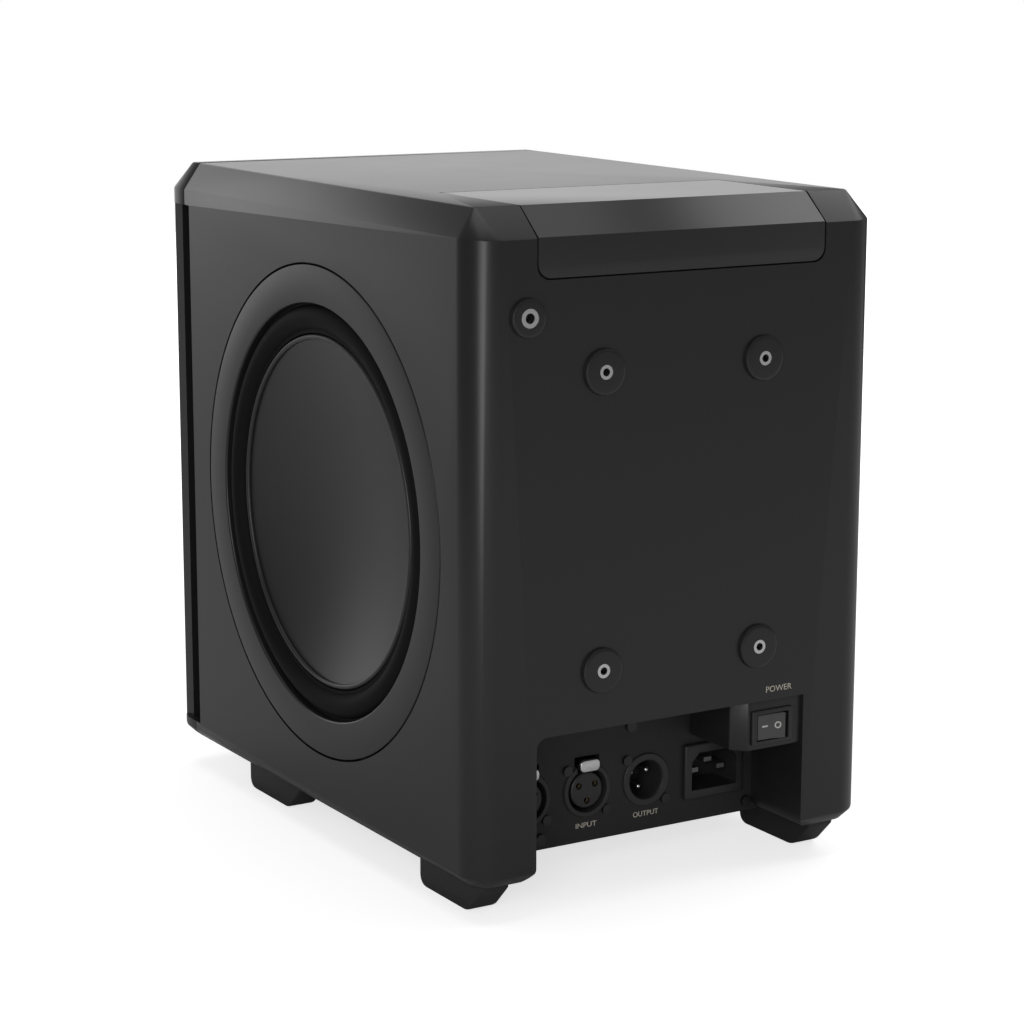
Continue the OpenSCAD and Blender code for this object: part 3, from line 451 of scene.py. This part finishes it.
# %% Sizes of the openings
BAY_Y, BAY_TOP, BAY_RIGHT, BAY_LEFT, BAY_WALL = 107.0, 77.0, 65.0, 70.5, 5.0
WOOFER = (7.6, 150.0)
RECESS_R, HOLE_R, LEDGE, LEG_R = 109.5, 99.6, 8.1, 7.0
HATCH_HALF, HATCH_FRONT, HATCH_LOW, HATCH_T = 70.5, 66.0, 265.0, 3.0


def hatch_profile(gap, past):
    """The hatch's section: a bent plate over the rear edge. past makes it a cutter that clears the outside."""
    bend = HATCH_T * 0.45
    y0, z0 = HATCH_FRONT - gap, HATCH_LOW - gap
    inside = [(y0, TOP - HATCH_T), (REAR - BEVEL_Y - bend, TOP - HATCH_T),
              (REAR - HATCH_T, BEVEL_Z - bend), (REAR - HATCH_T, z0)]
    if past:
        outside = [(REAR + past, z0), (REAR + past, TOP + past), (y0, TOP + past)]
    else:
        outside = [(REAR, z0), (REAR, BEVEL_Z), (REAR - BEVEL_Y, TOP), (y0, TOP)]
    return inside + outside


def hatch_form(name, gap, past):
    half = HATCH_HALF + gap
    form = prism(name, [(-half, y, z) for y, z in hatch_profile(gap, past)], (2 * half, 0, 0))
    pick(form, "EDGE", lambda p, d: abs(d.y) > 0.99 and p.z < HATCH_LOW + 1 and p.y > REAR - 5)
    bpy.ops.mesh.bevel(offset=6 * MM, segments=8, affect="EDGES")
    leave()
    return form


def leg_corner(x, s):
    """What rounds the lower corner of the wall beside the bay."""
    low, high = sorted((x - s, x + s * LEG_R))
    piece = block("leg_corner", (low, BAY_Y, BASE - 2), (high, REAR + 2, BASE + LEG_R))
    return combine(piece, [rod("leg_round", (x + s * LEG_R, 130, BASE + LEG_R), LEG_R, 80, "Y", 96)])


# %% Cut the cabinet
def cut_cabinet(obj):
    hollow = block("hollow", (-86, SEAM - 1, 25), (86, REAR - 10, 283))
    housing = block("housing", (-BAY_RIGHT - BAY_WALL, BAY_Y, 0), (BAY_LEFT + BAY_WALL, REAR - 2, BAY_TOP + BAY_WALL))
    slot = block("slot", (-130, SEAM - 1, 24), (130, SEAM + 5, 274))
    combine(hollow, [housing])
    bay = block("bay", (-BAY_RIGHT, BAY_Y - 1, BASE - 1), (BAY_LEFT, REAR + 1, BAY_TOP))
    pick(bay, "EDGE", lambda p, d: abs(d.y) > 0.99 and p.x > 0 and p.z > 50)
    bpy.ops.mesh.bevel(offset=5 * MM, segments=6, affect="EDGES")
    leave()
    legs = [leg_corner(BAY_LEFT, 1), leg_corner(-BAY_RIGHT, -1)]
    step = block("step", (-BAY_RIGHT - BAY_WALL, BAY_Y - 3, BASE - 1), (BAY_LEFT + BAY_WALL, BAY_Y + 0.01, 25))
    tray = block("tray", (-HATCH_HALF + 7, 73, 282), (HATCH_HALF - 7, 127, TOP + 1))
    combine(obj, [hollow, slot, bay, *legs, step, hatch_form("hatch_seat", 0.6, 2.0), tray])
    for side in SIDES:
        seat = rod("seat", (side * (HALF_W - LEDGE / 2 + 1), *WOOFER), RECESS_R, LEDGE + 2, "X", 192)
        hole = rod("hole", (side * (HALF_W - 8), *WOOFER), HOLE_R, 20, "X", 192)
        combine(obj, [seat, hole])
    return obj


cut_cabinet(cabinet)


# %% The box that brings the switch to the rear face
def switch_box():
    face = REAR - 1.5
    box = prism("switch_box", [(-BAY_RIGHT - 1, BAY_Y, 55), (-31, BAY_Y, 55), (-31, face - 6, 55),
                               (-37, face, 55), (-BAY_RIGHT - 1, face, 55)], (0, 0, 23))
    soften(box, 0.7, 3, 30)
    pocket = block("pocket", (-49 - 9.7, BAY_Y - 1, 65 - 6.6), (-49 + 9.7, REAR + 1, 65 + 6.6))
    return combine(box, [pocket])


# %% Raised bosses round the threaded inserts
BOSSES = [(sx * 39.5, 164 + sz * 62, 9.6, 3.0) for sx in SIDES for sz in SIDES] + [(75.5, 250, 8.0, 3.9)]


def boss(x, z, outer, inner):
    profile = [(outer, -0.5), (outer, 1.0), (outer - 0.3, 1.6), (outer - 0.9, 1.95), (outer - 1.5, 2.0),
               (inner + 0.3, 2.0), (inner, 1.8), (inner, -4)]
    return turned("boss", profile, (x, REAR, z), (0, 1, 0), 96)


holes = [rod("insert_hole", (x, REAR - 2, z), inner, 10, "Y") for x, z, outer, inner in BOSSES]
combine(cabinet, holes)
cabinet = join("cabinet_body", [cabinet, switch_box()] + [boss(*b) for b in BOSSES])
finish(cabinet, "cabinet_paint", nodes=["cabinet"], angle=30)

# %% [markdown]
# ## The front cover
# A separate front panel with skirts at top and bottom sits against the cabinet. On each side a tall slot
# stays open between its edge and the cabinet for the port's air.

# %% Cut the front cover
inside = block("inside", (-91, FRONT + 7.6, 24), (91, SEAM + 1, 278.2))
gap = block("gap", (-130, FRONT + 12.5, 24), (130, SEAM + 1, 274))
edges = [prism("edge", [(s * 101, FRONT - 1, 24), (s * 97.8, FRONT - 1, 24), (s * 97.8, FRONT + 5, 24),
                        (s * 96.6, FRONT + 13.5, 24), (s * 101, FRONT + 13.5, 24)], (0, 0, 250)) for s in SIDES]
combine(cover, [inside, gap] + edges)
finish(cover, "cabinet_paint", nodes=["front_cover"], angle=30)

# %% [markdown]
# ## The hatch
# A thin bent plate lies flush in its seat over the rear edge, with a narrow seam all round. It is one prism
# with two round lower corners. A fine bevel makes its edges read as a seam.

# %% Bend the hatch
hatch = hatch_form("hatch_piece", 0.0, 0.0)
soften(hatch, 0.35, 2, 60)
pegs = [rod("peg", (s * 66.9, 105, 288), 1.6, 6, "Z", 32) for s in SIDES]
hatch = join("hatch_piece", [hatch] + pegs)
finish(hatch, "hatch_paint", "hatch", ["access_hatch"], 30)

# %% [markdown]
# ## The woofers
# Ring, surround and cone are all round about one axis, so each is a profile spun round it: a flat trim ring
# with eased edges, a low half roll of rubber, and a shallow dish with a rounded lip that catches a thin line
# of light. The two woofers face opposite ways.

# %% Profiles of the woofer, as radius and height over the side face
def arc(cx, cy, r, start, end, count):
    """Points on an arc, angles in degrees."""
    return [(cx + r * math.cos(math.radians(start + (end - start) * k / count)),
             cy + r * math.sin(math.radians(start + (end - start) * k / count))) for k in range(count + 1)]


RING = ([(108.6, -3.4)] + arc(108.2, -0.4, 0.4, 0, 90, 4) + arc(93.0, -1.0, 1.0, 90, 180, 6)
        + [(92.0, -3.4), (108.6, -3.4)])


def roll_profile():
    half, foot, rise, mid = 5.45, -4.5, 4.0, 85.75
    r = (half * half + rise * rise) / (2 * rise)
    spread = math.degrees(math.asin(half / r))
    top = arc(mid, foot + rise - r, r, 90 - spread, 90 + spread, 24)
    under = arc(mid, foot + rise - r, r - 0.8, 90 + spread * 0.96, 90 - spread * 0.96, 16)
    return ([(94.6, foot), (94.6, foot + 0.7), (91.6, foot + 0.7)] + top[1:-1]
            + [(79.9, foot + 0.7), (78.7, foot + 0.7), (78.7, foot)] + under + [(94.6, foot)])


def cone_profile():
    rim, deep, sunk, thick, lip = 78.2, 15.0, 4.4, 1.6, 1.2
    ball = (rim * rim + deep * deep) / (2 * deep)
    bottom = ball - sunk - deep
    wide = math.degrees(math.asin((rim - lip - 0.9) / ball))
    front = arc(0, bottom, ball, 270, 270 + wide, 24)
    back = arc(0, bottom, ball + thick, 270 + wide, 270, 24)
    edge = arc(rim - lip, -sunk, lip, 200, -90, 14)
    return [(0.0, front[0][1])] + front[1:] + edge + back[:-1] + [(0.0, back[-1][1])]


# %% Spin the woofers
for side, tag in ((1, "right"), (-1, "left")):
    centre, axis = (side * HALF_W, *WOOFER), (side, 0, 0)
    finish(turned("trim_ring_" + tag + "_piece", RING, centre, axis, 192), "ring_paint",
           nodes=["trim_ring_" + tag])
    finish(turned("surround_" + tag + "_piece", roll_profile(), centre, axis, 160), "surround_rubber",
           nodes=["surround_" + tag], angle=50, slot="rubber_part")
    finish(turned("cone_" + tag + "_piece", cone_profile(), centre, axis, 160), "cone_metal",
           "cone_" + tag, ["cone_" + tag], 50)

# %% [markdown]
# ## The connector bay
# Sockets, inlet and switch are moulded plastic set in a flat metal plate. The round ones are spun profiles
# with the contact holes bored afterwards. The square ones are blocks with their openings cut out. All have
# their front edges eased.

# %% Three-pole sockets
SOCKET_Z = 38.0
PIN_ANGLES = (30, 150, 270)


def shell(name, x, profile, bores):
    """A socket: a spun shell with a flange behind the panel, and holes bored into its face."""
    piece = turned(name, profile, (x, BAY_Y, SOCKET_Z), (0, 1, 0), 72)
    if bores:
        combine(piece, [rod("bore", (x + 4.7 * math.cos(math.radians(a)), BAY_Y - 5,
                                     SOCKET_Z + 4.7 * math.sin(math.radians(a))), 1.55, 12, "Y", 32)
                        for a in PIN_ANGLES])
    return piece


RIM = [(11.0, -25), (11.0, 0), (11.9, 0), (11.9, 0.6), (11.6, 0.95), (11.2, 1.0), (10.2, 1.0)]
INPUT = [(0, -25)] + RIM + [(9.8, 0.8), (9.6, 0.4), (9.6, -17), (7.9, -17), (7.9, -0.2), (7.6, 0.1),
                            (7.2, 0.2), (0, 0.2)]
OUTPUT = [(0, -25)] + RIM + [(9.0, 0.8), (8.5, 0.2), (8.2, -0.6), (8.2, -18), (0, -18)]


def notch(x):
    return block("notch", (x - 5.4, BAY_Y - 2.5, SOCKET_Z + 8.5), (x + 5.4, BAY_Y + 2, SOCKET_Z + 14))


for x, tag in ((53.0, "a"), (22.5, "b")):
    piece = combine(shell("input_" + tag + "_piece", x, INPUT, True), [notch(x)])
    finish(piece, "socket_plastic", nodes=["input_socket_" + tag])
finish(shell("output_piece", -8.0, OUTPUT, False), "socket_plastic", nodes=["output_socket"])


# %% Latch tabs
def latch(x, tag):
    pad = block("pad", (x - 5, BAY_Y + 0.6, SOCKET_Z + 8.9), (x + 5, BAY_Y + 3, SOCKET_Z + 14.3))
    pick(pad, "EDGE", lambda p, d: abs(d.y) > 0.99)
    bpy.ops.mesh.bevel(offset=2.2 * MM, segments=6, affect="EDGES")
    leave()
    soften(pad, 0.5, 3, 50)
    tongue = block("tongue", (x - 4.2, 97, SOCKET_Z + 10.0), (x + 4.2, BAY_Y + 1, SOCKET_Z + 11.2))
    soften(tongue, 0.2, 2)
    finish(join("latch_" + tag + "_piece", [pad, tongue]), "bright_metal", "latch_" + tag, ["latch_" + tag])


latch(53.0, "a")
latch(22.5, "b")


# %% Mains inlet
def inlet():
    x, z = -43.0, SOCKET_Z
    frame_part = block("inlet_piece", (x - 15.5, BAY_Y, z - 12.5), (x + 15.5, BAY_Y + 2.4, z + 12.5))
    soften(frame_part, 0.8, 3)
    trunk = block("trunk", (x - 13.3, 84, z - 10.3), (x + 13.3, BAY_Y + 0.5, z + 10.3))
    combine(frame_part, [trunk], "UNION")
    w, h, c = 12.0, 8.5, 4.0
    points = [(-w, -h), (w, -h), (w, h - c), (w - c, h), (-w + c, h), (-w, h - c)]
    cavity = prism("cavity", [(x + a, 91, z + b) for a, b in points], (0, 30, 0))
    return combine(frame_part, [cavity])


finish(inlet(), "socket_plastic", nodes=["mains_inlet"])

# %% [markdown]
# ## The power switch
# The rocker has two flats that meet in a shallow valley and turns about an upright pin. It rests with one side
# pressed. Its section is drawn already turned, then pushed up to its height.

# %% Switch body and rocker
SWITCH = Vector((-49.0, 142.5, 65.0))
PIVOT = Vector((-49.0, 137.0, 65.0))
TILT = math.radians(-7)


def switch_housing():
    bezel = block("switch_piece", SWITCH + Vector((-10.75, 0, -7.6)), SWITCH + Vector((10.75, 1.4, 7.6)))
    soften(bezel, 0.5, 3)
    trunk = block("trunk", SWITCH + Vector((-9.6, -20, -6.5)), SWITCH + Vector((9.6, 0.4, 6.5)))
    combine(bezel, [trunk], "UNION")
    pocket = block("pocket", SWITCH + Vector((-8.4, -12, -6.0)), SWITCH + Vector((8.4, 4, 6.0)))
    return combine(bezel, [pocket])


def on_rocker(u, out, z=0.0):
    """A place on the rocker, u along its width and out from its pivot, turned to the rest position."""
    spot = Vector((u, out, z))
    spot.rotate(Matrix.Rotation(TILT, 3, "Z"))
    return PIVOT + spot


def rocker():
    section = [(-6.8, 0), (6.8, 0), (6.8, 7.5), (0, 6.7), (-6.8, 7.5)]
    cap = prism("rocker_piece", [on_rocker(u, o, -5.6) for u, o in section], (0, 0, 11.2))
    soften(cap, 0.4, 3, 40)
    pin = rod("pin", PIVOT, 1.5, 12.8, "Z", 32)
    return join("rocker_piece", [cap, pin])


finish(switch_housing(), "socket_plastic", nodes=["switch_body"])
finish(rocker(), "rocker_plastic", "rocker", ["power_rocker"])


# %% [markdown]
# ## The feet
# Four rubber rails: upright at the front end, sloped at the rear end, with two sunk screws each.

# %% Feet
def foot(name, sx, y):
    side = [(y, 0), (y + 41, 0), (y + 53, 12), (y + 53, 15), (y, 15)]
    rail = prism(name, [(sx * 84 - 6.5, a, b) for a, b in side], (13, 0, 0))
    for near, round_by in ((y, 5), (y + 41, 4)):
        pick(rail, "EDGE", lambda p, d: abs(d.x) > 0.99 and abs(p.y - near) < 0.1 and p.z < 0.1)
        bpy.ops.mesh.bevel(offset=round_by * MM, segments=6, affect="EDGES")
        leave()
    soften(rail, 1.0, 3, 40)
    holes = [rod("hole", (sx * 84, y + d, 4.5), 3.6, 12, "Z", 40) for d in (9, 33)]
    holes += [rod("hole", (sx * 84, y + d, 8), 1.8, 20, "Z", 32) for d in (9, 33)]
    return combine(rail, holes)


for place, y in (("rear", 81.0), ("front", -84.5)):
    for sx, tag in ((1, "right"), (-1, "left")):
        name = "foot_%s_%s" % (place, tag)
        finish(foot(name + "_piece", sx, y), "rubber_part", nodes=[name])


# %% [markdown]
# ## Generic words and marks
# Only plain words stand at the sockets and the switch. Each is text made into a mesh and laid on its surface.
# The rocker carries a dash and a ring, which ride with it.

# %% Print
LOOK["print"] = material("print", (0.62, 0.57, 0.49), (0.54, 0.50, 0.43), 0.6, 0.1, 900, 60)
LOOK["mark"] = material("mark", (0.62, 0.62, 0.6), (0.55, 0.55, 0.53), 0.5, 0.1, 900, 60)


def word(text, centre, height, look="print", turn=0.0, body="enclosure", width=None):
    """Text laid on a face that looks to +Y, read from behind the cabinet."""
    alone(None)
    bpy.ops.object.text_add()
    obj = bpy.context.object
    obj.data.body = text
    obj.data.align_x = obj.data.align_y = "CENTER"
    obj.data.size = height * MM / 0.7
    obj.data.extrude = 0.05 * MM
    obj.data.resolution_u = 4
    alone(obj)
    bpy.ops.object.convert(target="MESH")
    obj.name = "word_" + text.lower()
    if width:
        obj.scale.x = width * MM / obj.dimensions.x
    obj.rotation_euler = (math.pi / 2, 0, math.pi + turn)
    obj.location = Vector(centre) * MM
    alone(obj)
    bpy.ops.object.transform_apply(location=True, rotation=True, scale=True)
    obj.data.materials.clear()
    obj.data.materials.append(LOOK[look])
    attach(obj, body)
    return obj


word("INPUT", (22.8, BAY_Y + 0.03, 22.3), 2.3, width=10.6)
word("OUTPUT", (-8.1, BAY_Y + 0.03, 22.5), 2.3, width=13.2)
word("POWER", (-51.5, REAR + 0.03, 81.7), 2.6, width=13.6)


def rocker_marks():
    """A dash and a ring on the rocker's two flats, drawn flat and then turned with it."""
    valley = math.atan2(0.8, 6.8)
    for u, kind in ((3.2, "dash"), (-3.2, "ring")):
        out = 6.7 + abs(u) * math.tan(valley) + 0.02
        lean = TILT + (valley if u > 0 else -valley)
        if kind == "dash":
            mark = block("mark_dash", (-1.5, -0.15, -0.35), (1.5, 0.06, 0.35))
        else:
            mark = rod("mark_ring", (0, -0.045, 0), 1.55, 0.21, "Y", 48)
            combine(mark, [rod("hole", (0, 0, 0), 0.95, 2, "Y", 48)])
        mark.rotation_euler = (0, 0, lean)
        mark.location = on_rocker(u, out, 0.4) * MM
        alone(mark)
        bpy.ops.object.transform_apply(location=True, rotation=True, scale=True)
        mark.data.materials.append(LOOK["mark"])
        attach(mark, "rocker")


rocker_marks()


# %% [markdown]
# ## Everything that the frame keeps
# The nodes whose shape is right already stay as they are, inner pieces among them, each in its own material.

# %% Materials for the kept nodes
slots = {s["node"]: s["material_slot"] for s in frame["record"]["subparts"]}
kept = [n for n, o in frame["nodes"].items() if not o.hide_render]
for name in kept:
    node = frame["nodes"][name]
    node.data.materials.clear()
    node.data.materials.append(LOOK["blade_metal" if name == "inlet_pins" else slots[name]])
print("kept nodes:", len(kept))

# %% [markdown]
# ## Studio
# A pale floor and a wide soft wall of light behind the object, which the top mirrors at its low angle while
# the rear stays dark. One soft light hangs overhead to the side, and a faint one stands near the camera.

# %% Floor, world and lights
def studio_surface(name, colour, glow):
    m = bpy.data.materials.new(name)
    m.use_nodes = True
    tree = m.node_tree
    shader = tree.nodes["Principled BSDF"]
    shader.inputs["Base Color"].default_value = (*colour, 1)
    shader.inputs["Roughness"].default_value = 0.9
    shader.inputs["Specular IOR Level"].default_value = 0.1
    shader.inputs["Emission Color"].default_value = (1, 1, 1, 1)
    path = tree.nodes.new("ShaderNodeLightPath")
    where = tree.nodes.new("ShaderNodeTexCoord")
    away = tree.nodes.new("ShaderNodeVectorMath")
    away.operation = "LENGTH"
    tree.links.new(where.outputs["Object"], away.inputs[0])
    ramp = tree.nodes.new("ShaderNodeMapRange")
    ramp.inputs["From Min"].default_value, ramp.inputs["From Max"].default_value = 0.3, 0.9
    ramp.inputs["To Min"].default_value, ramp.inputs["To Max"].default_value = glow, 1.05
    tree.links.new(away.outputs["Value"], ramp.inputs["Value"])
    tree.links.new(math_node(tree, "MULTIPLY", (0, -200), path.outputs["Is Camera Ray"], ramp.outputs["Result"]),
                   shader.inputs["Emission Strength"])
    return m


alone(None)
bpy.ops.mesh.primitive_plane_add(size=5, location=(0, 0, 0))
floor = bpy.context.object
floor.name = "floor"
floor.data.materials.append(studio_surface("floor_white", (0.85, 0.85, 0.85), 0.7))

world = bpy.data.worlds.new("studio")
bpy.context.scene.world = world
world.use_nodes = True
tree = world.node_tree
background = tree.nodes["Background"]
path = tree.nodes.new("ShaderNodeLightPath")
mix = tree.nodes.new("ShaderNodeMix")
mix.data_type = "RGBA"
mix.inputs["A"].default_value = (0.16, 0.16, 0.16, 1)
mix.inputs["B"].default_value = (1, 1, 1, 1)
tree.links.new(path.outputs["Is Camera Ray"], mix.inputs["Factor"])
tree.links.new(mix.outputs["Result"], background.inputs["Color"])


def lamp(name, place, target, width, height, power):
    light = bpy.data.lights.new(name, "AREA")
    light.shape = "RECTANGLE"
    light.size, light.size_y = width, height
    light.energy = power
    obj = bpy.data.objects.new(name, light)
    bpy.context.scene.collection.objects.link(obj)
    obj.location = place
    obj.rotation_euler = (Vector(target) - Vector(place)).to_track_quat("-Z", "Y").to_euler()
    obj.visible_camera = False
    return obj


lamp("wall_of_light", (-0.5, -2.3, 0.62), (-0.5, 0, 0.62), 4.0, 1.25, 18)
lamp("overhead", (0.0, -0.2, 2.0), (0, 0, 0), 1.6, 1.6, 9)
lamp("overhead_side", (-2.0, -0.1, 1.9), (-2.0, 0, 0), 1.6, 2.4, 20)
lamp("near_camera", (1.22, 1.45, 0.6), (0, 0, 0.3), 0.7, 1.2, 10.5)

# %% [markdown]
# ## Camera
# The camera looks from the rear, a little from above. Its frame is slightly shifted, as for a cropped picture.

# %% Place the camera
PLACE = Vector((0.6389, 1.0681, 0.3929))
FORWARD = Vector((-0.5282, -0.8233, -0.2079)).normalized()
ROLL = math.radians(0.44)
right = FORWARD.cross(Vector((0, 0, 1))).normalized()
up = right.cross(FORWARD)
right, up = (right * math.cos(ROLL) + up * math.sin(ROLL), up * math.cos(ROLL) - right * math.sin(ROLL))
turn = Matrix((right, up, -FORWARD)).transposed().to_4x4()
camera_data = bpy.data.cameras.new("camera")
camera_data.sensor_width = 36
camera_data.lens = 97.2
camera_data.shift_x, camera_data.shift_y = -0.0752, 0.0225
camera = bpy.data.objects.new("camera", camera_data)
camera.matrix_world = Matrix.Translation(PLACE) @ turn
bpy.context.scene.collection.objects.link(camera)
bpy.context.scene.camera = camera
bpy.context.scene.view_settings.view_transform = "Standard"

import json
